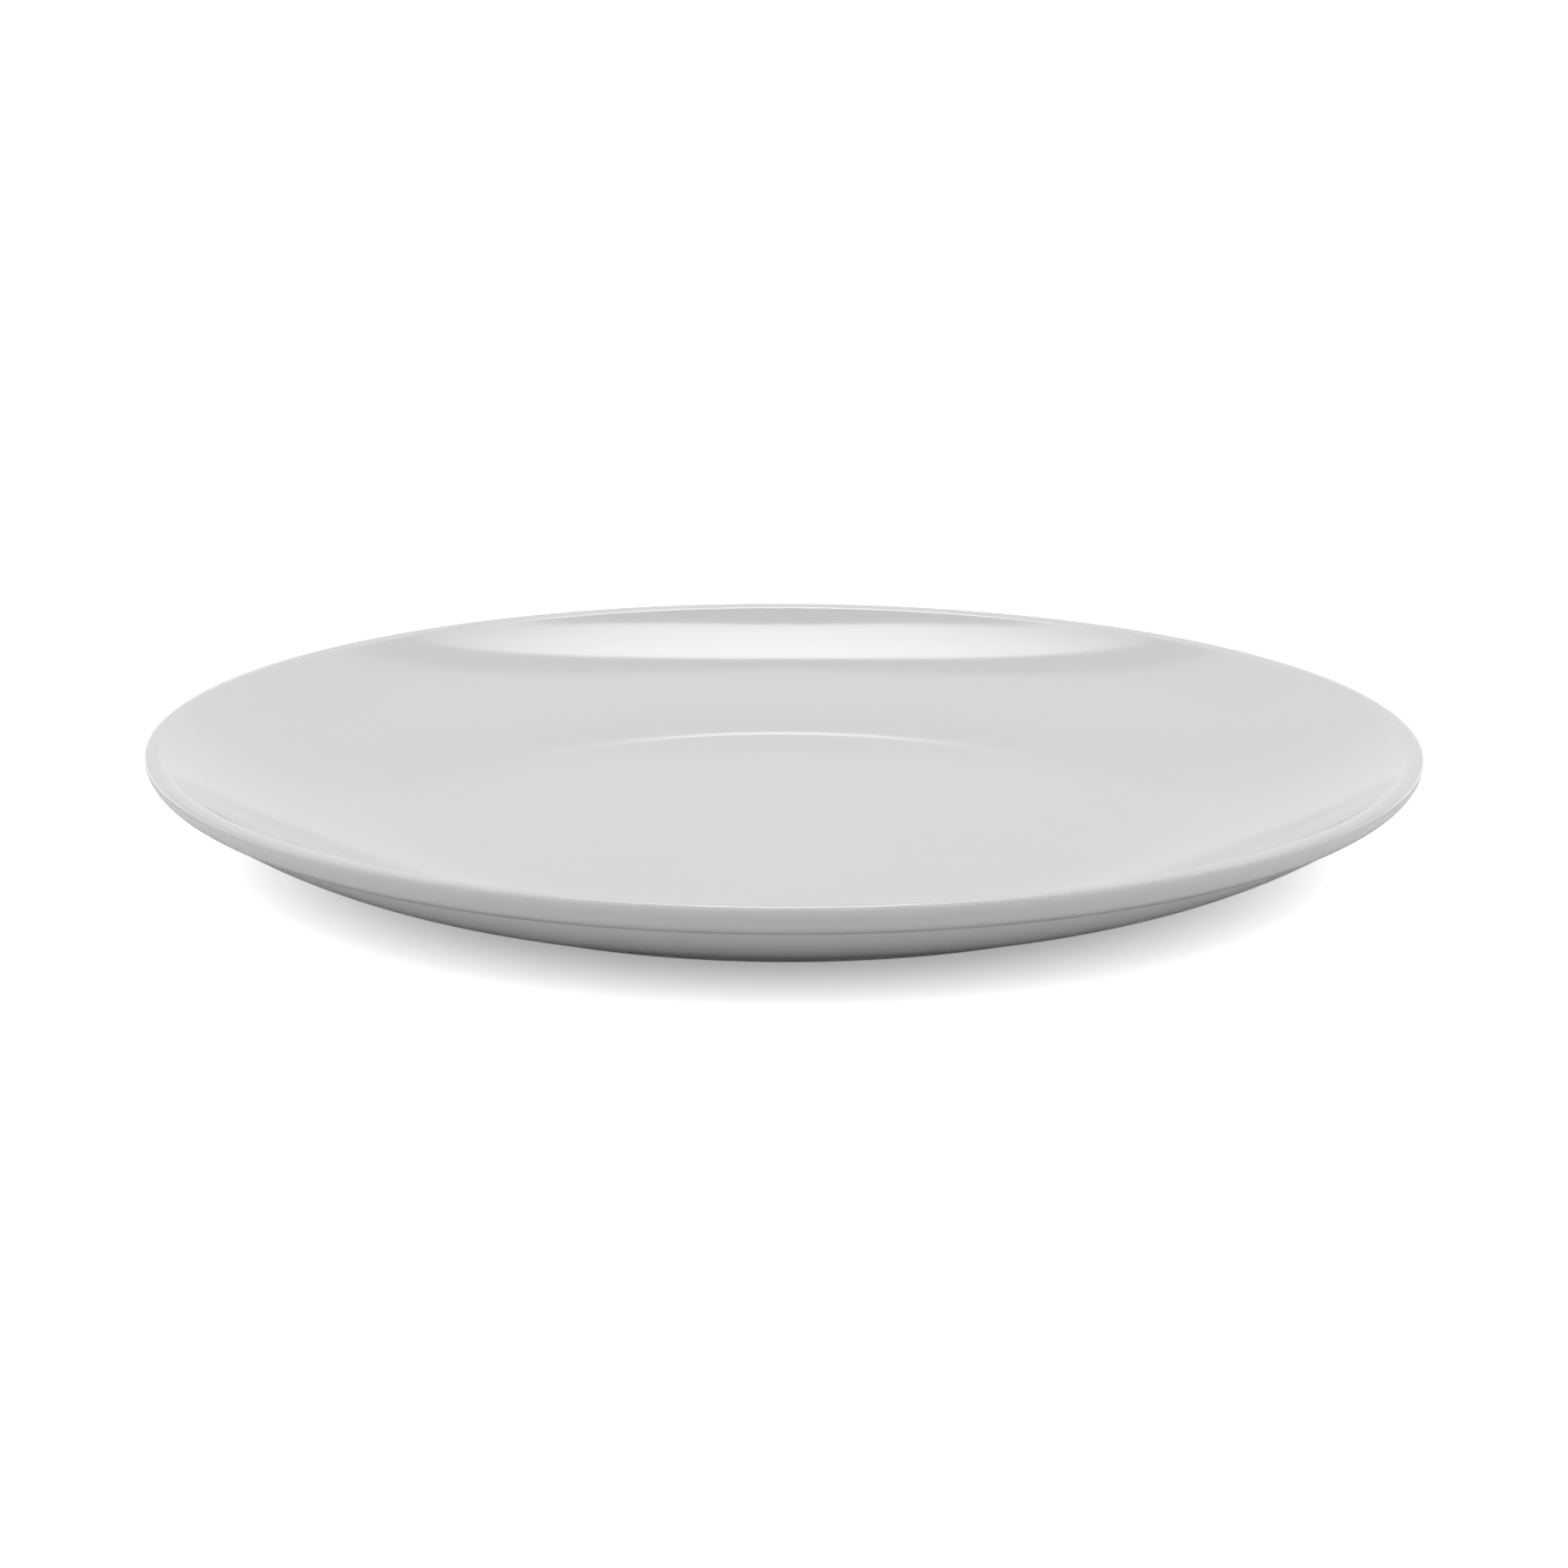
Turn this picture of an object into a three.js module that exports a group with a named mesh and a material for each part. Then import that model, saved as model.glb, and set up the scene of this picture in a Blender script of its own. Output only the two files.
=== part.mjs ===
// Round coupe plate in glazed porcelain, in millimetres, +Z up.
// The plate is turned about the z axis and stands on its foot ring at z = 0.
// The fired body carries two coats of glaze, which the bare foot ring keeps apart.

import * as THREE from 'three';

// Face and edge, measured over the glaze
const RIM_RADIUS = 135; // widest line round the edge
const HEIGHT = 24; // standing face to the top of the lip
const LIP_INSET = 2; // widest line in to the top of the lip
const LIP_ROUND = 1.2; // rounding between the lip's top and the wall
const EDGE_DROP = 0.9; // top of the lip down to the widest line
const WELL_RADIUS = 72; // flat floor of the well
const WELL_HEIGHT = 6; // standing face to the floor of the well

// Rolled edge and back
const BEAD_DEPTH = 6.2; // widest line down to the crease under the edge
const BEAD_UNDERCUT = 6.1; // widest line in to the crease
const BEAD_SLOPE = 0.4; // rise over run where the edge meets the crease
const BACK_SAG = 2.2; // how far the back bows below a straight line

// Foot ring
const FOOT_RADIUS = 89.5; // outer wall at the standing face
const FOOT_WIDTH = 5; // ring's width at the standing face
const FOOT_HEIGHT = 2; // standing face to where the back begins
const FOOT_FLARE = 1.4; // lean of each wall over the foot's height
const FOOT_ROUND = 0.6; // rounded edges of the standing face
const RECESS_HEIGHT = 1.8; // standing face to the glazed ceiling of the recess
const RECESS_ROUND = 2; // rounding where the recess meets the ring

// Glaze
const GLAZE = 0.3; // body's surface to the outside of either coat
const BOND = 0.02; // hairline between the body and a coat
const BARE_HEIGHT = 1; // bare stretch of the foot's walls above the standing face

// Facets
const SEGMENTS = 64; // round the plate
const CURVE_STEPS = 3; // along a curve of the outline, twice that on an arc
const SAME_POINT = 1e-6; // points closer than this are one

// Levels and radii of the fired body under its glaze
const lipTop = HEIGHT - GLAZE;
const rim = RIM_RADIUS - GLAZE;
const lip = RIM_RADIUS - LIP_INSET;
const widest = HEIGHT - EDGE_DROP;
const wellFloor = WELL_HEIGHT - GLAZE;
const recess = RECESS_HEIGHT + GLAZE;
const footInner = FOOT_RADIUS - FOOT_WIDTH;
const footLean = FOOT_FLARE / FOOT_HEIGHT;

// Points along an outline, without the repeats where two of its curves meet
function sampled(outline) {
  const points = outline.getPoints(CURVE_STEPS);
  return points.filter((point, i) => i === 0 || point.distanceTo(points[i - 1]) > SAME_POINT);
}

// Body's outline under the main coat: middle of the well, over the lip, to the glaze line on the foot
function faceAndBack() {
  // The wall is one arc, level where it leaves the floor and aimed at the inner corner of the lip
  const corner = new THREE.Vector2(lip - LIP_ROUND, lipTop);
  const run = corner.x - WELL_RADIUS;
  const rise = corner.y - wellFloor;
  const wallRadius = (run * run + rise * rise) / (2 * rise);
  const fullAngle = Math.asin(run / wallRadius);
  const wallAngle = fullAngle - LIP_ROUND / wallRadius;
  const wallTop = wellFloor + wallRadius * (1 - Math.cos(wallAngle));
  const wallEnd = WELL_RADIUS + wallRadius * Math.sin(wallAngle);
  const lipAim = wallEnd + (lipTop - wallTop) / Math.tan(wallAngle);

  const crease = new THREE.Vector2(rim - BEAD_UNDERCUT, widest - BEAD_DEPTH + GLAZE);
  const beadAim = crease.y + BEAD_UNDERCUT * BEAD_SLOPE;
  const footTop = new THREE.Vector2(FOOT_RADIUS + FOOT_FLARE, FOOT_HEIGHT);
  const chord = crease.clone().sub(footTop).normalize();
  const bow = new THREE.Vector2(chord.y, -chord.x).multiplyScalar(2 * BACK_SAG);
  const backAim = crease.clone().lerp(footTop, 1 / 2).add(bow);

  const outline = new THREE.Path();
  outline.moveTo(0, wellFloor);
  outline.lineTo(WELL_RADIUS, wellFloor);
  outline.absarc(WELL_RADIUS, wellFloor + wallRadius, wallRadius, -Math.PI / 2, wallAngle - Math.PI / 2, false);
  outline.quadraticCurveTo(lipAim, lipTop, lip, lipTop);
  outline.absellipse(lip, widest, rim - lip, lipTop - widest, Math.PI / 2, 0, true);
  outline.quadraticCurveTo(rim, beadAim, crease.x, crease.y);
  outline.quadraticCurveTo(backAim.x, backAim.y, footTop.x, footTop.y);
  outline.lineTo(FOOT_RADIUS + footLean * BARE_HEIGHT, BARE_HEIGHT);
  return sampled(outline);
}

// Bare stretch of the foot ring, from the outer glaze line over the standing face to the inner one
function bareFoot() {
  const outline = new THREE.Path();
  outline.moveTo(FOOT_RADIUS + footLean * BARE_HEIGHT, BARE_HEIGHT);
  outline.lineTo(FOOT_RADIUS + footLean * FOOT_ROUND, FOOT_ROUND);
  outline.quadraticCurveTo(FOOT_RADIUS, 0, FOOT_RADIUS - FOOT_ROUND, 0);
  outline.lineTo(footInner + FOOT_ROUND, 0);
  outline.quadraticCurveTo(footInner, 0, footInner - footLean * FOOT_ROUND, FOOT_ROUND);
  outline.lineTo(footInner - footLean * BARE_HEIGHT, BARE_HEIGHT);
  return sampled(outline);
}

// Body's outline under the second coat: inner glaze line, round into the recess, to the middle
function recessCeiling() {
  const wall = footInner - footLean * BARE_HEIGHT;
  const corner = footInner - footLean * recess;
  const outline = new THREE.Path();
  outline.moveTo(wall, BARE_HEIGHT);
  outline.quadraticCurveTo(corner, recess, corner - RECESS_ROUND, recess);
  outline.lineTo(0, recess);
  return sampled(outline);
}

// Moves an open outline out of the body by a distance, each stretch staying parallel to itself
function coated(outline, distance) {
  const normals = [];
  for (let i = 1; i < outline.length; i += 1) {
    const along = outline[i].clone().sub(outline[i - 1]).normalize();
    normals.push(new THREE.Vector2(-along.y, along.x));
  }
  return outline.map((point, i) => {
    const before = normals[Math.max(i - 1, 0)];
    const after = normals[Math.min(i, normals.length - 1)];
    const mitre = before.clone().add(after).normalize();
    return mitre.multiplyScalar(distance / mitre.dot(before)).add(point);
  });
}

// Turns an outline that runs from the axis, round the outside, back to the axis
function turned(name, outline, material) {
  const geometry = new THREE.LatheGeometry(outline.toReversed(), SEGMENTS);
  geometry.rotateX(Math.PI / 2);
  const mesh = new THREE.Mesh(geometry, material);
  mesh.name = name;
  return mesh;
}

const face = faceAndBack();
const foot = bareFoot();
const ceiling = recessCeiling();
const bodyOutline = [...face, ...foot.slice(1), ...ceiling.slice(1)];
const faceCoatOutline = [...coated(face, GLAZE), ...coated(face, BOND).toReversed()];
const recessCoatOutline = [...coated(ceiling, BOND).toReversed(), ...coated(ceiling, GLAZE)];

const firedClay = new THREE.MeshStandardMaterial({ color: 0xd8d4ca, roughness: 0.85, metalness: 0 });
const whiteGlaze = new THREE.MeshStandardMaterial({ color: 0xdadada, roughness: 0.1, metalness: 0 });
const backGlaze = new THREE.MeshStandardMaterial({ color: 0xd6d6d6, roughness: 0.14, metalness: 0 });

const plate = new THREE.Group();
plate.add(
  turned('porcelain_body', bodyOutline, firedClay),
  turned('face_and_back_glaze', faceCoatOutline, whiteGlaze),
  turned('recess_glaze', recessCoatOutline, backGlaze),
);

export default plate;
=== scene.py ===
"""Round coupe plate in glazed porcelain: the fired body, its two coats of glaze and a plain studio.

The script is laid out as an add-on and is run as a script.
All sizes are in metres, in the frame of the CAD model.
"""

import math

import bpy
from mathutils import Matrix, Vector


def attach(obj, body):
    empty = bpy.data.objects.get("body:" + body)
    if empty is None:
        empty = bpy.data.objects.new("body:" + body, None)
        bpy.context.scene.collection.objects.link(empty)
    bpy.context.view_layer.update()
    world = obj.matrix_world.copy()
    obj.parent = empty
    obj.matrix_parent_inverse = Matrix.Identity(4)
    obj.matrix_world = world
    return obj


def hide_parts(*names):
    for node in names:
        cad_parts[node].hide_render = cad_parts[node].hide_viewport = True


bl_info = {
    "name": "Glazed coupe plate",
    "version": (1, 0, 0),
    "blender": (4, 5, 0),
    "location": "View3D > Sidebar > Plate",
    "description": "Models a round plate in glazed porcelain over its CAD frame, and a studio to show it in",
    "category": "Object",
}

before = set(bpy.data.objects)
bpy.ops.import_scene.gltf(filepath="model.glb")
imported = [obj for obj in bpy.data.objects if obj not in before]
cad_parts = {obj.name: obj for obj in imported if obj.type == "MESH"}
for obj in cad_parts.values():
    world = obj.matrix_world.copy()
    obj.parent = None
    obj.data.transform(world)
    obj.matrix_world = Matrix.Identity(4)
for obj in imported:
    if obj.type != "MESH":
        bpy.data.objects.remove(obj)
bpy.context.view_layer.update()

MM = 0.001
QUARTER_TURN = math.pi / 2
FULL_TURN = 2 * math.pi
RIGHT_ANGLE = 90  # in degrees

# Steps along each stretch of the section
WELL_STEPS = 8
WALL_STEPS = 32
LIP_STEPS = 36
SHOULDER_STEPS = 24
BEAD_STEPS = 18
BACK_STEPS = 24
FOOT_TOP_STEPS = 3
FOOT_WALL_STEPS = 2
FOOT_EDGE_STEPS = 8
STANDING_FACE_STEPS = 4
RECESS_CORNER_STEPS = 10
RECESS_STEPS = 24
COAT_END_STEPS = 8

# Meshes
CREASE_HOLD = 0.15 * MM  # corner of the crease to the next point on either side
MERGE_DISTANCE = 0.002 * MM  # points closer than this are one
SMOOTH_ANGLE = math.radians(50)  # edges sharper than this stay sharp

# Glaze on the face and the back
CREASE_POOL_AND_SHADE = 0.9 * MM  # reach of the darker glaze round the crease: pooled glaze and painted shade
EDGE_POOL = 1.4 * MM  # reach of the thick glaze along the coat's lower edge
FACE_POOL_AND_SHADE_SHARE = 0.7
FACE_CLOUD_SHARE = 0.08
WALL_LIGHT_RUN = 25 * MM  # edge of the well's floor to where the wall's painted light is full
FACE_SMEARS = 0.03  # roughness added by wiping
FACE_RELIEF = 0.004 * MM

# Glaze in the recess
RECESS_POOL = 2 * MM  # reach of the thick glaze along the coat's edge
RECESS_POOL_SHARE = 0.6
RECESS_CLOUD_SHARE = 0.25
RECESS_SMEARS = 0.08
RING_PITCH = 2.4 * MM  # from one turning ring to the next
RING_WOBBLE = 4 * MM
RING_HEIGHT = 0.35
RECESS_RELIEF = 0.03 * MM

# Bare clay
GRAIN_EDGE = (0.5, 0.75)  # noise where a grain starts and where it is full
GRAIN_SHARE = 0.5
CLAY_CLOUD_SHARE = 0.3
RUBBED_HEIGHT = 0.2 * MM  # standing face up to where the clay is no longer rubbed
CLAY_ROUGHNESS = 0.88
RUBBED_SMOOTHING = 0.25
GRAIN_ROUGHNESS = 0.08
CLAY_RELIEF = 0.05 * MM

# Floor, with the radii between which it changes
FLOOR_GAP = 0.05 * MM  # standing face down to the floor
EDGE_RADII = (0.105, 0.125)  # from under the plate to under its edge
SWEEP_RADII = (0.145, 0.18)  # from the plate's edge to the open floor
SEEN_WHITE_RADII = (0.05, 0.15)  # from the shaded floor to white, for the camera
MIRRORED_WHITE_RADII = (0.15, 0.25)  # from the shaded floor to white, for mirrors and glass
BLACK = (0, 0, 0)
WHITE = (1, 1, 1)

# Softbox that the plate's wall mirrors
SOFTBOX_AIM = Vector((0, 115 * MM, 15 * MM))
SOFTBOX_RISE = math.radians(65.75)
SOFTBOX_DISTANCE = 1.2
SOFTBOX_WIDTH = 0.78
SOFTBOX_HALF_ANGLE = math.radians(6.3)  # half its height, seen from the wall
SOFTBOX_RADIANCE = 4.3

# Strip that the edge of the well's floor mirrors
STRIP_AIM = Vector((0, 74.5 * MM, 6 * MM))
STRIP_RISE = math.radians(18.2)
STRIP_DISTANCE = 0.97
STRIP_SIZE = (0.18, 0.028)
STRIP_RADIANCE = 1.4
STRIP_SPREAD = math.radians(4)

# Shape of a lamp's bright face
ENERGY_PER_RADIANCE = 4  # for each square metre
LAMP_BOW = 2.6  # how far the top edge drops towards the ends
LAMP_TOP = (1, 1.12)  # soft top edge, in heights of the lamp
LAMP_END_FADE = 4

# Surroundings: brightness by degrees above the floor
BACKDROP_LEVELS = {
    0: 0.94, 14: 0.88, 18: 0.88, 22: 0.8, 27: 0.84, 33: 0.94, 40: 0.98,
    50: 1.12, 54: 1.16, 56: 0.58, 59: 0.5, 74: 0.2, 90: 0.2,
}

# Surroundings: ranges of a direction's parts backwards, sideways and upwards, with what happens there
BEHIND = (0.2, 0.5)
ARCH_UP = (0.55, 0.75)
ARCH_RISE = 22  # degrees that the levels behind sink towards the sides
FRONT = (0.4, -0.6)
FRONT_DIMMING = 0.88
FILL_FRONT = (0, -0.4)
FILL_UP = (0.62, 0.82)
FILL_GAIN = 3.5
PANEL_UP = (0.5, 0.7)
PANEL_TOP = (0.815, 0.835)
PANEL_SIDE = (0.1, 0.35)
PANEL_GAIN = 0.35
WIDE_SIDE = (0.3, 0.9)
LOW_TOP = (0.04, 0.22)
LOW_GAIN = 2.9
FLANK_UP = (0.15, 0.35)
FLANK_TOP = (0.7, 0.85)
FLANK_DIMMING = 0.26

# Camera
PHOTO_PIXELS = 1800
SENSOR_WIDTH_MM = 36


# Properties

def length(name, description, default):
    """A size in metres that a user may change."""
    return bpy.props.FloatProperty(
        name=name, description=description, default=default, min=0, unit="LENGTH", precision=5
    )


def colour(name, description, default):
    """A colour that a user may change."""
    return bpy.props.FloatVectorProperty(
        name=name, description=description, default=default, min=0, max=1, size=3, subtype="COLOR"
    )


def number(name, description, default):
    """A plain number that a user may change."""
    return bpy.props.FloatProperty(name=name, description=description, default=default, min=0, precision=4)


def angle(name, description, degrees):
    """An angle that a user may change."""
    return bpy.props.FloatProperty(
        name=name, description=description, default=math.radians(degrees), subtype="ANGLE"
    )


class PlateShape(bpy.types.PropertyGroup):
    """Sizes of the plate, over the glaze unless they say otherwise."""

    rim_radius: length("Rim radius", "Widest line round the edge", 135 * MM)
    height: length("Height", "Standing face to the top of the lip", 24 * MM)
    lip_inset: length("Lip inset", "Widest line in to the top of the lip", 2 * MM)
    lip_round: length("Lip round", "Rounding between the lip's top and the wall", 1.2 * MM)
    edge_drop: length("Edge drop", "Top of the lip down to the widest line", 0.9 * MM)
    well_radius: length("Well radius", "Flat floor of the well", 72 * MM)
    well_height: length("Well height", "Standing face to the floor of the well", 6 * MM)
    bead_depth: length("Bead depth", "Widest line down to the crease under the edge", 6.2 * MM)
    bead_undercut: length("Bead undercut", "Widest line in to the crease", 6.1 * MM)
    bead_slope: number("Bead slope", "Rise over run where the edge meets the crease", 0.4)
    back_sag: length("Back sag", "How far the back bows below a straight line", 2.2 * MM)
    foot_radius: length("Foot radius", "Foot ring's outer wall at the standing face", 89.5 * MM)
    foot_width: length("Foot width", "Foot ring's width at the standing face", 5 * MM)
    foot_height: length("Foot height", "Standing face to where the back begins", 2 * MM)
    foot_flare: length("Foot flare", "Lean of each wall over the foot's height", 1.4 * MM)
    foot_round: length("Foot round", "Rounded edges of the standing face", 0.6 * MM)
    recess_height: length("Recess height", "Standing face to the glazed ceiling of the recess", 1.8 * MM)
    recess_round: length("Recess round", "Rounding where the recess meets the ring", 2 * MM)
    glaze: length("Glaze", "Body's surface to the outside of either coat", 0.3 * MM)
    bond: length("Bond", "Hairline between the body and a coat", 0.02 * MM)
    bare_height: length("Bare height", "Bare stretch of the foot's walls above the standing face", 1 * MM)
    spokes: bpy.props.IntProperty(
        name="Spokes", description="Sections round the plate", default=256, min=16
    )


class PlateFinish(bpy.types.PropertyGroup):
    """Colours and gloss of the plate's surfaces."""

    glaze_colour: colour("Glaze", "White gloss glaze", (0.716, 0.716, 0.716))
    # Painted light: the wall's glaze is a lighter colour, standing in for the light that falls on the wall
    lit_wall_colour: colour("Thin glaze", "Glaze on the slopes, where it has run thinner", (0.732, 0.732, 0.732))
    # Pooled glaze, and round the crease also painted shade: a darker grey glaze
    pooled_glaze_and_shade_colour: colour("Pooled glaze", "Glaze where it has run together thickly", (0.56, 0.56, 0.565))
    clay_colour: colour("Bare clay", "Fired porcelain on the foot ring", (0.68, 0.66, 0.61))
    grain_colour: colour("Clay grain", "Darker grains in the bare clay", (0.5, 0.475, 0.43))
    gloss_roughness: number("Gloss roughness", "Roughness of the clean glaze", 0.06)


class PlateStudio(bpy.types.PropertyGroup):
    """Camera and floor."""

    aim_height: length("Aim height", "Middle of the rim, which the camera is set by", 23 * MM)
    camera_distance: length("Camera distance", "Camera to the middle of the rim", 1.08)
    camera_elevation: angle("Camera elevation", "Camera above the rim, seen from its middle", 13.75)
    camera_dip: angle("Camera dip", "Aim below the middle of the rim", 0.487)
    camera_roll: angle("Camera roll", "Camera's lean", 0.183)
    focal_pixels: number("Focal length", "Focal length in pixels of the photograph", 5833.5)
    floor_colour: colour("Floor", "Pale studio floor under the plate", (0.82, 0.82, 0.82))
    edge_colour: colour("Floor by the edge", "Floor under and round the plate's edge", (0.86, 0.86, 0.86))
    sweep_colour: colour("Sweep", "Floor away from the plate", (0.6, 0.6, 0.6))
    floor_reach: length("Floor reach", "Half the floor's side", 4)


# Outlines of the turned section, as radius and height

def quadratic(start, aim, end, steps, hold=0):
    """Points of a quadratic curve after its start, with one more at a hold's distance from each end."""
    shares = [i / steps for i in range(1, steps + 1)]
    if hold:
        near_start = hold / (2 * (aim - start).length)
        near_end = 1 - hold / (2 * (end - aim).length)
        shares = sorted([near_start, near_end, *shares])
    return [start * (1 - t) ** 2 + aim * 2 * t * (1 - t) + end * t ** 2 for t in shares]


def elliptic(centre, half_width, half_height, first, last, steps):
    """Points of an elliptic arc after its start, angles from the outward radius."""
    turns = [first + (last - first) * i / steps for i in range(1, steps + 1)]
    return [centre + Vector((half_width * math.cos(t), half_height * math.sin(t))) for t in turns]


def straight(start, end, steps):
    """Points of a line after its start."""
    return [start.lerp(end, i / steps) for i in range(1, steps + 1)]


def face_and_back(shape):
    """Body's outline under the main coat: middle of the well, over the lip, to the glaze line on the foot."""
    lip_top = shape.height - shape.glaze
    rim = shape.rim_radius - shape.glaze
    lip = shape.rim_radius - shape.lip_inset
    widest = shape.height - shape.edge_drop
    floor = shape.well_height - shape.glaze

    run = lip - shape.lip_round - shape.well_radius
    rise = lip_top - floor
    wall_radius = (run ** 2 + rise ** 2) / (2 * rise)
    wall_turn = math.asin(run / wall_radius) - shape.lip_round / wall_radius
    wall_end = wall_turn - QUARTER_TURN
    wall_centre = Vector((shape.well_radius, floor + wall_radius))
    well_edge = Vector((shape.well_radius, floor))
    crease = Vector((rim - shape.bead_undercut, widest - shape.bead_depth + shape.glaze))
    bead_aim = Vector((rim, crease.y + shape.bead_undercut * shape.bead_slope))
    foot_top = Vector((shape.foot_radius + shape.foot_flare, shape.foot_height))
    chord = (crease - foot_top).normalized()
    back_aim = crease.lerp(foot_top, 0.5) + Vector((chord.y, -chord.x)) * 2 * shape.back_sag

    points = [Vector((0, floor))]
    points += straight(points[-1], well_edge, WELL_STEPS)
    points += elliptic(wall_centre, wall_radius, wall_radius, -QUARTER_TURN, wall_end, WALL_STEPS)
    lip_aim = Vector((points[-1].x + (lip_top - points[-1].y) / math.tan(wall_turn), lip_top))
    points += quadratic(points[-1], lip_aim, Vector((lip, lip_top)), LIP_STEPS)
    shoulder_centre = Vector((lip, widest))
    points += elliptic(shoulder_centre, rim - lip, lip_top - widest, QUARTER_TURN, 0, SHOULDER_STEPS)
    points += quadratic(points[-1], bead_aim, crease, BEAD_STEPS, CREASE_HOLD)
    points += quadratic(points[-1], back_aim, foot_top, BACK_STEPS, CREASE_HOLD)
    points += straight(points[-1], outer_glaze_line(shape), FOOT_TOP_STEPS)
    return points


def foot_lean(shape):
    """Run over rise of the foot ring's walls."""
    return shape.foot_flare / shape.foot_height


def outer_glaze_line(shape):
    """Where the main coat ends on the foot ring."""
    return Vector((shape.foot_radius + foot_lean(shape) * shape.bare_height, shape.bare_height))


def inner_glaze_line(shape):
    """Where the recess coat ends on the foot ring."""
    inner = shape.foot_radius - shape.foot_width
    return Vector((inner - foot_lean(shape) * shape.bare_height, shape.bare_height))


def bare_foot(shape):
    """Bare stretch of the foot ring, from the outer glaze line over the standing face to the inner one."""
    lean = foot_lean(shape)
    edge = shape.foot_round
    outer = shape.foot_radius
    inner = shape.foot_radius - shape.foot_width
    points = [outer_glaze_line(shape)]
    points += straight(points[-1], Vector((outer + lean * edge, edge)), FOOT_WALL_STEPS)
    points += quadratic(points[-1], Vector((outer, 0)), Vector((outer - edge, 0)), FOOT_EDGE_STEPS)
    points += straight(points[-1], Vector((inner + edge, 0)), STANDING_FACE_STEPS)
    points += quadratic(points[-1], Vector((inner, 0)), Vector((inner - lean * edge, edge)), FOOT_EDGE_STEPS)
    points += straight(points[-1], inner_glaze_line(shape), FOOT_WALL_STEPS)
    return points


def recess_ceiling(shape):
    """Body's outline under the second coat: inner glaze line, round into the recess, to the middle."""
    ceiling = shape.recess_height + shape.glaze
    corner = Vector((shape.foot_radius - shape.foot_width - foot_lean(shape) * ceiling, ceiling))
    points = [inner_glaze_line(shape)]
    points += quadratic(points[-1], corner, corner - Vector((shape.recess_round, 0)), RECESS_CORNER_STEPS)
    points += straight(points[-1], Vector((0, ceiling)), RECESS_STEPS)
    return points


def coated(outline, distance):
    """The outline moved out of the body by a distance, each stretch staying parallel to itself."""
    normals = []
    for start, end in zip(outline, outline[1:]):
        along = (end - start).normalized()
        normals.append(Vector((-along.y, along.x)))
    moved = []
    for point, before, after in zip(outline, normals[:1] + normals, normals + normals[-1:]):
        mitre = (before + after).normalized()
        moved.append(point + mitre * (distance / mitre.dot(before)))
    return moved


def rolled_end(start, end):
    """Half-round end of a coat, between its two surfaces."""
    middle = start.lerp(end, 0.5)
    half = start - middle
    onward = Vector((half.y, -half.x))
    turns = [math.pi * i / COAT_END_STEPS for i in range(1, COAT_END_STEPS)]
    return [middle + half * math.cos(t) + onward * math.sin(t) for t in turns]


# Modelling

def turn_section(name, outline, spokes):
    """Draws a section by extruding a corner from point to point, and spins it round the plate's axis."""
    bpy.ops.object.select_all(action="DESELECT")
    start = outline[0]
    bpy.ops.mesh.primitive_plane_add(size=MM, location=(start.x, 0, start.y))
    piece = bpy.context.object
    piece.name = name
    bpy.ops.object.mode_set(mode="EDIT")
    bpy.ops.mesh.select_all(action="SELECT")
    bpy.ops.mesh.merge(type="CENTER")
    for here, there in zip(outline, outline[1:]):
        step = (there.x - here.x, 0, there.y - here.y)
        bpy.ops.mesh.extrude_vertices_move(TRANSFORM_OT_translate={"value": step})
    bpy.ops.mesh.select_all(action="SELECT")
    bpy.ops.mesh.spin(steps=spokes, angle=FULL_TURN, center=(0, 0, 0), axis=(0, 0, 1))
    bpy.ops.mesh.select_all(action="SELECT")
    bpy.ops.mesh.remove_doubles(threshold=MERGE_DISTANCE)
    bpy.ops.mesh.select_all(action="SELECT")
    bpy.ops.mesh.normals_make_consistent(inside=False)
    bpy.ops.object.mode_set(mode="OBJECT")
    bpy.ops.object.transform_apply(location=True, rotation=True, scale=True)
    bpy.ops.object.shade_smooth_by_angle(angle=SMOOTH_ANGLE)
    return piece


def settle(piece, node, material):
    """Puts a finished piece in the place of its CAD node, with its finish."""
    piece.data.materials.clear()
    piece.data.materials.append(material)
    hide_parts(node)
    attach(piece, "root")


# Shader expressions

class Socket:
    """A shader value that takes part in expressions."""

    def __init__(self, graph, link):
        self.graph = graph
        self.link = link

    def math(self, operation, *values):
        """A Math node on this value and the others."""
        return self.graph.node("ShaderNodeMath", {"operation": operation}, dict(enumerate((self, *values))))

    def __add__(self, other):
        return self.math("ADD", other)

    __radd__ = __add__

    def __mul__(self, other):
        return self.math("MULTIPLY", other)

    __rmul__ = __mul__

    def __sub__(self, other):
        return self.math("SUBTRACT", other)

    def __rsub__(self, other):
        return self.graph.node("ShaderNodeMath", {"operation": "SUBTRACT"}, {0: other, 1: self})

    def __truediv__(self, other):
        return self.math("DIVIDE", other)


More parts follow.
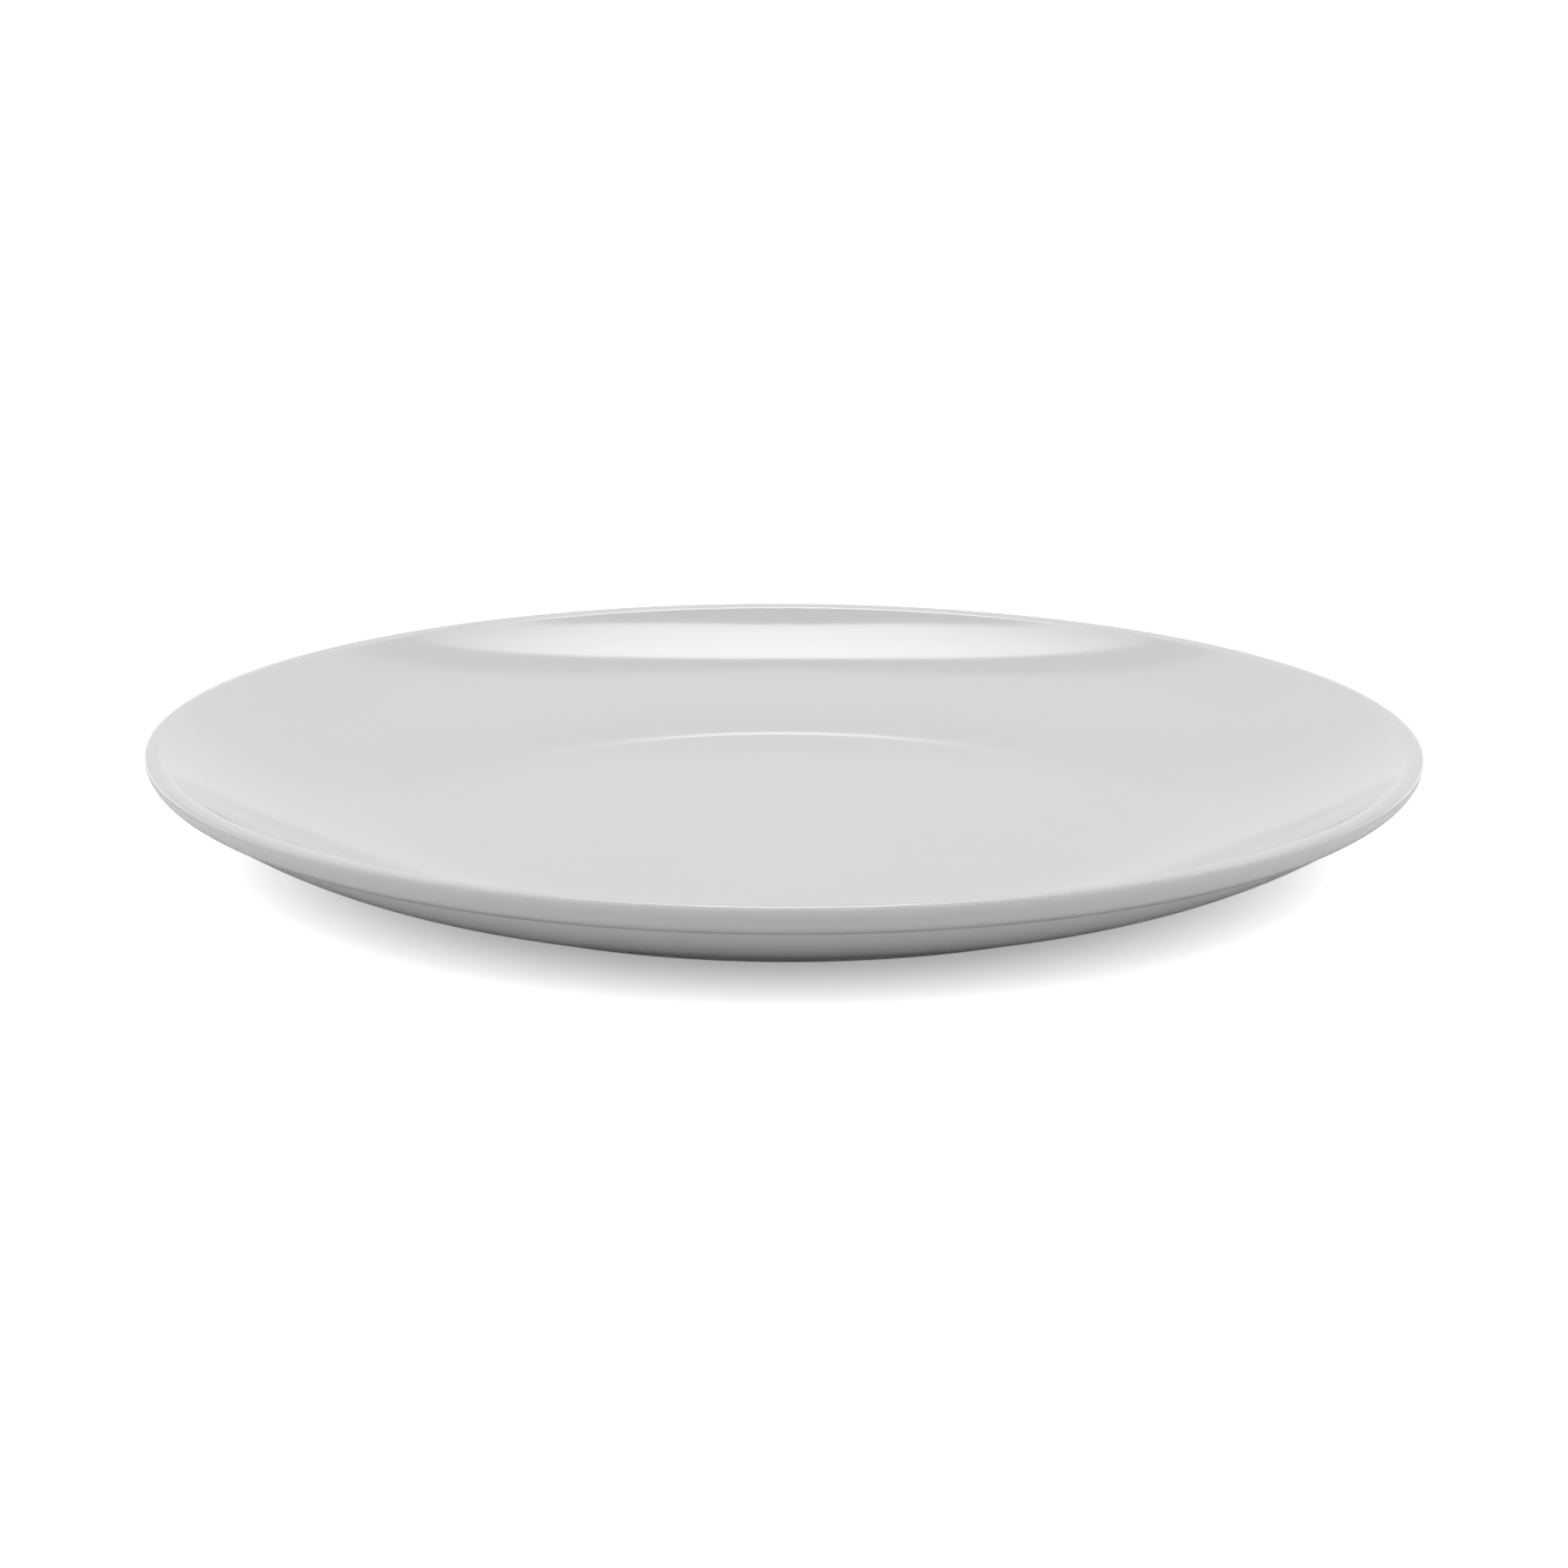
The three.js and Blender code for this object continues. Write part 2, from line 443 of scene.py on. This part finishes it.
class Graph:
    """A node tree that is written as expressions."""

    def __init__(self, tree):
        self.tree = tree

    def node(self, kind, settings=None, inputs=None, output=0):
        """Adds a node, sets it up, fills its sockets, and returns one of its outputs."""
        made = self.tree.nodes.new(kind)
        for name, value in (settings or {}).items():
            if name == "stops":
                self.set_stops(made.color_ramp, value)
            else:
                setattr(made, name, value)
        for name, value in (inputs or {}).items():
            if isinstance(value, Socket):
                self.tree.links.new(value.link, made.inputs[name])
            else:
                made.inputs[name].default_value = value
        return Socket(self, made.outputs[output])

    @staticmethod
    def set_stops(ramp, stops):
        """Fills a colour ramp with grey levels at their positions."""
        while len(ramp.elements) < len(stops):
            ramp.elements.new(1)
        for element, (position, level) in zip(ramp.elements, stops):
            element.position = position
            element.color = (level, level, level, 1)

    def join(self, value, socket):
        """Links a value to a socket of a node that is there already."""
        self.tree.links.new(value.link, socket)

    def axes(self, vector):
        """The three parts of a vector."""
        parts = self.node("ShaderNodeSeparateXYZ", {}, {0: vector}).link.node.outputs
        return [Socket(self, part) for part in parts]

    def looks(self):
        """What looks at a surface: the camera itself, and a mirror or a glass."""
        path = self.node("ShaderNodeLightPath").link.node.outputs
        camera = Socket(self, path["Is Camera Ray"])
        mirror = Socket(self, path["Is Glossy Ray"])
        glass = Socket(self, path["Is Transmission Ray"])
        return camera, mirror.math("MAXIMUM", glass)

    def ramp(self, value, low, high):
        """Smooth step of a value from 0 at low to 1 at high."""
        return self.node(
            "ShaderNodeMapRange",
            {"interpolation_type": "SMOOTHSTEP"},
            {"Value": value, "From Min": low, "From Max": high},
        )

    def shade(self, tint, level):
        """A colour times a level."""
        sockets = {0: tint, 3: level}
        return self.node("ShaderNodeVectorMath", {"operation": "SCALE"}, sockets)

    def blend(self, share, first, second):
        """A colour between two others."""
        ends = [end if isinstance(end, Socket) else (*end, 1) for end in (first, second)]
        sockets = {0: share, 6: ends[0], 7: ends[1]}
        return self.node("ShaderNodeMix", {"data_type": "RGBA"}, sockets, output=2)


class Finish(Graph):
    """A surface's material, with its place round the plate's axis at hand."""

    def __init__(self, name):
        self.material = bpy.data.materials.new(name)
        self.material.use_nodes = True
        super().__init__(self.material.node_tree)
        self.shader = self.tree.nodes["Principled BSDF"]
        self.output = self.tree.nodes["Material Output"]
        self.surface = Socket(self, self.shader.outputs["BSDF"])
        self.place = self.node("ShaderNodeTexCoord", output="Object")
        across, deep, self.height = self.axes(self.place)
        self.radius = (across * across + deep * deep).math("SQRT")

    def feed(self, name, value):
        """Links a value to one of the shader's inputs."""
        self.join(value, self.shader.inputs[name])

    def noise(self, scale, detail, roughness=0.5):
        """Soft noise from 0 to 1 over the surface."""
        sockets = {"Vector": self.place, "Scale": scale, "Detail": detail, "Roughness": roughness}
        return self.node("ShaderNodeTexNoise", {}, sockets)

    def near(self, radius, height, reach):
        """A mask that is 1 on a ring round the plate and fades out at a distance."""
        out = self.radius - radius
        up = self.height - height
        away = (out * out + up * up).math("SQRT")
        return 1 - self.ramp(away, 0, reach)

    def relief(self, height, depth):
        """Raises the surface by a height from 0 to 1, times a depth."""
        bump = self.node("ShaderNodeBump", {}, {"Strength": 1, "Distance": depth, "Height": height})
        self.feed("Normal", bump)


def face_glaze_finish(shape, finish):
    """White gloss glaze, painted lighter up the wall for the light that falls there, darker round the crease
    with pooled glaze and painted shade, and thicker along its lower edge.
    """
    glaze = Finish("face_glaze")
    crease_radius = shape.rim_radius - shape.bead_undercut
    crease_height = shape.height - shape.edge_drop - shape.bead_depth
    line = outer_glaze_line(shape)
    # Painted shade and pooled glaze: the glaze darkens round the crease under the edge
    crease_pool_and_shade = glaze.near(crease_radius, crease_height, CREASE_POOL_AND_SHADE)
    along_edge = glaze.near(line.x, line.y, EDGE_POOL)
    clouds = glaze.noise(scale=26, detail=3)
    share = crease_pool_and_shade.math("MAXIMUM", along_edge) * FACE_POOL_AND_SHADE_SHARE + clouds * FACE_CLOUD_SHARE
    # Painted light: the glaze turns lighter up the wall, standing in for the light there
    slope = glaze.ramp(glaze.radius, shape.well_radius, shape.well_radius + WALL_LIGHT_RUN)
    coat = glaze.blend(slope, finish.glaze_colour, finish.lit_wall_colour)
    glaze.feed("Base Color", glaze.blend(share, coat, finish.pooled_glaze_and_shade_colour))
    smears = glaze.noise(scale=60, detail=4, roughness=0.6)
    glaze.feed("Roughness", smears * FACE_SMEARS + finish.gloss_roughness)
    glaze.relief(glaze.noise(scale=140, detail=1), FACE_RELIEF)
    return glaze.material


def recess_glaze_finish(shape, finish):
    """Glaze inside the foot ring, with faint rings from turning under it."""
    glaze = Finish("recess_glaze")
    line = inner_glaze_line(shape)
    along_edge = glaze.near(line.x, line.y, RECESS_POOL)
    clouds = glaze.noise(scale=40, detail=3)
    share = along_edge * RECESS_POOL_SHARE + clouds * RECESS_CLOUD_SHARE
    glaze.feed("Base Color", glaze.blend(share, finish.glaze_colour, finish.pooled_glaze_and_shade_colour))
    smears = glaze.noise(scale=90, detail=4)
    glaze.feed("Roughness", smears * RECESS_SMEARS + finish.gloss_roughness)
    wobble = glaze.noise(scale=30, detail=2) * RING_WOBBLE
    rings = ((glaze.radius + wobble) * (FULL_TURN / RING_PITCH)).math("SINE")
    glaze.relief(rings * RING_HEIGHT + glaze.noise(scale=160, detail=2), RECESS_RELIEF)
    return glaze.material


def bare_clay_finish(finish):
    """Fired porcelain, matt and finely grained, rubbed smoother on the standing face."""
    clay = Finish("bare_clay")
    grain = clay.noise(scale=2600, detail=3, roughness=0.65)
    clouds = clay.noise(scale=55, detail=3)
    share = clay.ramp(grain, *GRAIN_EDGE) * GRAIN_SHARE + clouds * CLAY_CLOUD_SHARE
    clay.feed("Base Color", clay.blend(share, finish.clay_colour, finish.grain_colour))
    rubbed = 1 - clay.ramp(clay.height, 0, RUBBED_HEIGHT)
    clay.feed("Roughness", CLAY_ROUGHNESS - rubbed * RUBBED_SMOOTHING + grain * GRAIN_ROUGHNESS)
    clay.relief(grain, CLAY_RELIEF)
    return clay.material


# Operators

class PLATE_OT_body(bpy.types.Operator):
    """Model the fired porcelain body with its bare foot ring"""

    bl_idname = "plate.body"
    bl_label = "Porcelain body"

    def execute(self, context):
        shape = context.scene.plate_shape
        outline = face_and_back(shape) + bare_foot(shape)[1:] + recess_ceiling(shape)[1:]
        piece = turn_section("fired_body", outline, shape.spokes)
        material = bare_clay_finish(context.scene.plate_finish)
        settle(piece, "porcelain_body", material)
        return {"FINISHED"}


class PLATE_OT_face_glaze(bpy.types.Operator):
    """Model the glaze coat over the face, the edge and the back"""

    bl_idname = "plate.face_glaze"
    bl_label = "Face and back glaze"

    def execute(self, context):
        shape = context.scene.plate_shape
        outer = coated(face_and_back(shape), shape.glaze)
        inner = coated(face_and_back(shape), shape.bond)
        outline = outer + rolled_end(outer[-1], inner[-1]) + inner[::-1]
        piece = turn_section("main_glaze", outline, shape.spokes)
        material = face_glaze_finish(shape, context.scene.plate_finish)
        settle(piece, "face_and_back_glaze", material)
        return {"FINISHED"}


class PLATE_OT_recess_glaze(bpy.types.Operator):
    """Model the glaze coat inside the foot ring"""

    bl_idname = "plate.recess_glaze"
    bl_label = "Recess glaze"

    def execute(self, context):
        shape = context.scene.plate_shape
        outer = coated(recess_ceiling(shape), shape.glaze)
        inner = coated(recess_ceiling(shape), shape.bond)
        outline = inner[::-1] + rolled_end(inner[0], outer[0]) + outer
        piece = turn_section("ring_glaze", outline, shape.spokes)
        material = recess_glaze_finish(shape, context.scene.plate_finish)
        settle(piece, "recess_glaze", material)
        return {"FINISHED"}


class PLATE_OT_studio(bpy.types.Operator):
    """Set up the floor, the lamps, the surroundings and the camera"""

    bl_idname = "plate.studio"
    bl_label = "Studio"

    def execute(self, context):
        studio = context.scene.plate_studio
        lay_floor(studio)
        hang_lamps()
        surround(context.scene)
        place_camera(context.scene, studio)
        context.scene.view_settings.view_transform = "Standard"
        return {"FINISHED"}


# Studio

def lay_floor(studio):
    """A wide pale floor, white to the camera and to mirrors, which keeps the plate's shadow."""
    bpy.ops.object.select_all(action="DESELECT")
    bpy.ops.mesh.primitive_plane_add(size=2 * studio.floor_reach, location=(0, 0, -FLOOR_GAP))
    floor = bpy.context.object
    floor.name = "studio_floor"
    finish = Finish("studio_floor")
    under_edge = finish.ramp(finish.radius, *EDGE_RADII)
    near_colour = finish.blend(under_edge, studio.floor_colour, studio.edge_colour)
    away = finish.ramp(finish.radius, *SWEEP_RADII)
    finish.feed("Base Color", finish.blend(away, near_colour, studio.sweep_colour))
    finish.shader.inputs["Roughness"].default_value = 1
    finish.shader.inputs["Specular IOR Level"].default_value = 0
    finish.shader.inputs["Emission Strength"].default_value = 1
    straight_look, mirrored_look = finish.looks()
    seen = straight_look * finish.ramp(finish.radius, *SEEN_WHITE_RADII)
    mirrored = mirrored_look * finish.ramp(finish.radius, *MIRRORED_WHITE_RADII)
    finish.feed("Emission Color", finish.blend(seen + mirrored, BLACK, WHITE))
    open_from_below(finish)
    floor.data.materials.append(finish.material)


def open_from_below(finish):
    """Lets a look from below through a surface, and also the light that such a look then meets."""
    below = finish.node("ShaderNodeNewGeometry", output="Backfacing")
    passed = finish.node("ShaderNodeLightPath", output="Transparent Depth")
    open_way = below + passed.math("GREATER_THAN", 0.5)
    clear = finish.node("ShaderNodeBsdfTransparent")
    surface = finish.node("ShaderNodeMixShader", {}, {0: open_way, 1: finish.surface, 2: clear})
    finish.join(surface, finish.output.inputs["Surface"])


def add_softbox(name, aim, rise, distance, size, radiance):
    """A long lamp behind a point and turned to it, arched along its top and fading towards its ends."""
    place = aim + Vector((0, math.cos(rise), math.sin(rise))) * distance
    bpy.ops.object.select_all(action="DESELECT")
    bpy.ops.object.light_add(type="AREA", location=place)
    lamp = bpy.context.object
    lamp.name = name
    lamp.data.shape = "RECTANGLE"
    lamp.data.size, lamp.data.size_y = size
    lamp.data.energy = ENERGY_PER_RADIANCE * radiance * size[0] * size[1]
    lamp.rotation_euler = (aim - place).to_track_quat("-Z", "Y").to_euler()
    lamp.data.use_nodes = True
    graph = Graph(lamp.data.node_tree)
    along, up, _ = graph.axes(graph.node("ShaderNodeNewGeometry", output="Parametric"))
    off_middle = along - 0.5
    bow = off_middle * off_middle
    past_top = graph.ramp(up + bow * LAMP_BOW, *LAMP_TOP)
    emission = lamp.data.node_tree.nodes["Emission"]
    graph.join((1 - bow * LAMP_END_FADE) * (1 - past_top), emission.inputs["Strength"])
    return lamp


def hang_lamps():
    """A softbox high behind the plate, which its wall mirrors, and a low strip for the edge of the well."""
    height = 2 * SOFTBOX_DISTANCE * math.tan(SOFTBOX_HALF_ANGLE)
    softbox_size = (SOFTBOX_WIDTH, height)
    add_softbox("back_softbox", SOFTBOX_AIM, SOFTBOX_RISE, SOFTBOX_DISTANCE, softbox_size, SOFTBOX_RADIANCE)
    strip = add_softbox("low_strip", STRIP_AIM, STRIP_RISE, STRIP_DISTANCE, STRIP_SIZE, STRIP_RADIANCE)
    strip.data.spread = STRIP_SPREAD
    # A narrow beam needs only this share of the energy to look as bright
    strip.data.energy *= (STRIP_SPREAD / 2) ** 2 / 3


def surround(scene):
    """A pale sweep with a dark gap round the softbox, dim in front, with a fill high up in front."""
    world = bpy.data.worlds.new("studio")
    scene.world = world
    world.use_nodes = True
    graph = Graph(world.node_tree)
    backdrop = world.node_tree.nodes["Background"]
    across, depth, up = graph.axes(graph.node("ShaderNodeTexCoord", output="Generated"))
    side = across.math("ABSOLUTE")
    behind = graph.ramp(depth, *BEHIND)
    arch = side * behind * graph.ramp(up, *ARCH_UP) * (ARCH_RISE / RIGHT_ANGLE)
    rise = up.math("ARCSINE") / QUARTER_TURN + arch
    top = max(BACKDROP_LEVELS.values())
    stops = [(degrees / RIGHT_ANGLE, level / top) for degrees, level in BACKDROP_LEVELS.items()]
    level = graph.node("ShaderNodeValToRGB", {"stops": stops}, {0: rise})
    backdrop.inputs["Strength"].default_value = top

    front = graph.ramp(depth, *FRONT)
    fill = graph.ramp(depth, *FILL_FRONT) * graph.ramp(up, *FILL_UP)
    panel_height = graph.ramp(up, *PANEL_UP) * (1 - graph.ramp(up, *PANEL_TOP))
    panel = panel_height * (1 - graph.ramp(side, *PANEL_SIDE)) * behind
    wide = graph.ramp(side, *WIDE_SIDE)
    low_side = wide * (1 - graph.ramp(up, *LOW_TOP))
    flank = wide * graph.ramp(up, *FLANK_UP) * (1 - graph.ramp(up, *FLANK_TOP))
    gain = fill * FILL_GAIN + panel * PANEL_GAIN + low_side * LOW_GAIN
    share = 1 - front * FRONT_DIMMING - flank * FLANK_DIMMING + gain
    graph.join(graph.shade(level, share), backdrop.inputs["Color"])


def place_camera(scene, studio):
    """Camera at the photograph's angle, with its framing."""
    rim_middle = Vector((0, 0, studio.aim_height))
    rise = studio.camera_elevation
    bpy.ops.object.select_all(action="DESELECT")
    bpy.ops.object.camera_add()
    camera = bpy.context.object
    camera.name = "photo_camera"
    back = Vector((0, -math.cos(rise), math.sin(rise)))
    camera.location = rim_middle + back * studio.camera_distance
    tilt = Matrix.Rotation(QUARTER_TURN - rise - studio.camera_dip, 3, "X")
    lean = Matrix.Rotation(studio.camera_roll, 3, "Z")
    camera.rotation_euler = (tilt @ lean).to_euler()
    camera.data.sensor_width = SENSOR_WIDTH_MM
    camera.data.lens = studio.focal_pixels / PHOTO_PIXELS * SENSOR_WIDTH_MM
    scene.camera = camera


# Panel and registration

class VIEW3D_PT_plate(bpy.types.Panel):
    """Lists the plate's pieces and its studio"""

    bl_label = "Plate"
    bl_space_type = "VIEW_3D"
    bl_region_type = "UI"
    bl_category = "Plate"

    def draw(self, context):
        for operator in OPERATORS:
            self.layout.operator(operator.bl_idname)
        for settings in GROUPS:
            group = getattr(context.scene, settings)
            for name in group.__annotations__:
                self.layout.prop(group, name)


OPERATORS = (PLATE_OT_body, PLATE_OT_face_glaze, PLATE_OT_recess_glaze, PLATE_OT_studio)
GROUPS = {"plate_shape": PlateShape, "plate_finish": PlateFinish, "plate_studio": PlateStudio}
CLASSES = (*GROUPS.values(), *OPERATORS, VIEW3D_PT_plate)


def register():
    for cls in CLASSES:
        bpy.utils.register_class(cls)
    for name, group in GROUPS.items():
        setattr(bpy.types.Scene, name, bpy.props.PointerProperty(type=group))


def unregister():
    for name in GROUPS:
        delattr(bpy.types.Scene, name)
    for cls in reversed(CLASSES):
        bpy.utils.unregister_class(cls)


def main():
    """Builds the plate and its studio."""
    register()
    bpy.ops.plate.body()
    bpy.ops.plate.face_glaze()
    bpy.ops.plate.recess_glaze()
    bpy.ops.plate.studio()


if __name__ == "__main__":
    main()
